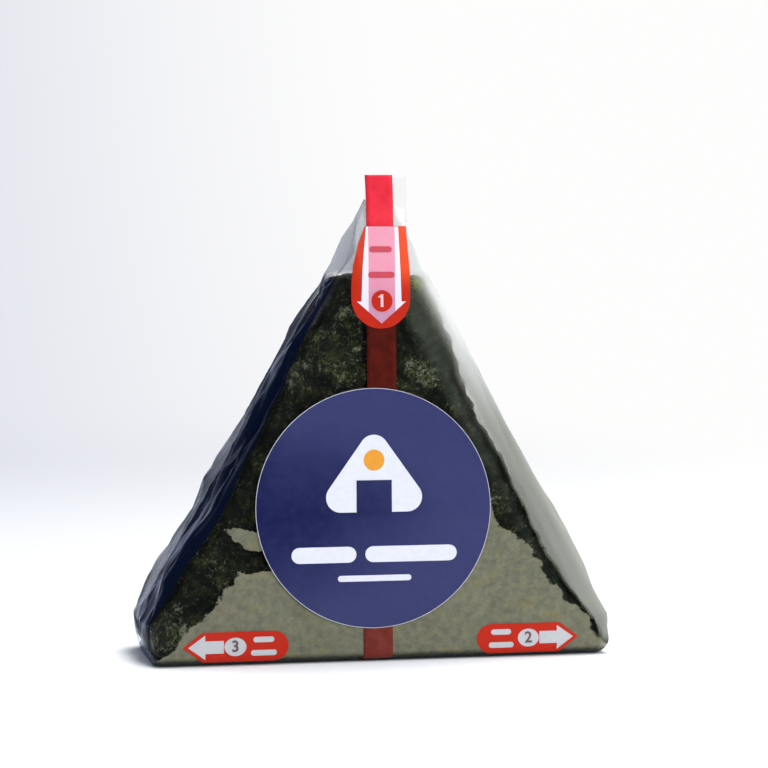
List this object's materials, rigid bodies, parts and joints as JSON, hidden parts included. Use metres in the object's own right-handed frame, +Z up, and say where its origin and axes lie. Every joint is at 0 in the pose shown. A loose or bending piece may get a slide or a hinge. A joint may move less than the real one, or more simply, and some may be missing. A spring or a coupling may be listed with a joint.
{
  "type": "film-wrapped rice ball",
  "caption": "Triangular rice ball in nori, in a clear tear-open wrap with a ridge and pull tab on top, a red tear tape round it and a round label on the front; stands on its flat base.",
  "frame": {"origin": "on the ground under the middle of the whole pack's box", "axes": "+Z up, the labelled front face towards -Y, +X to the right seen from the front"},
  "size_m": [0.096, 0.0341, 0.0975],
  "materials": {
    "nori_in_film": "clear satin film over toasted nori, hazy low on the front",
    "red_tape": "satin translucent red",
    "navy_label": null
  },
  "bodies": {
    "root": {"film_wrapped_rice_ball": "nori_in_film", "tear_tape": "red_tape", "round_label": "navy_label"}
  },
  "joints": []
}
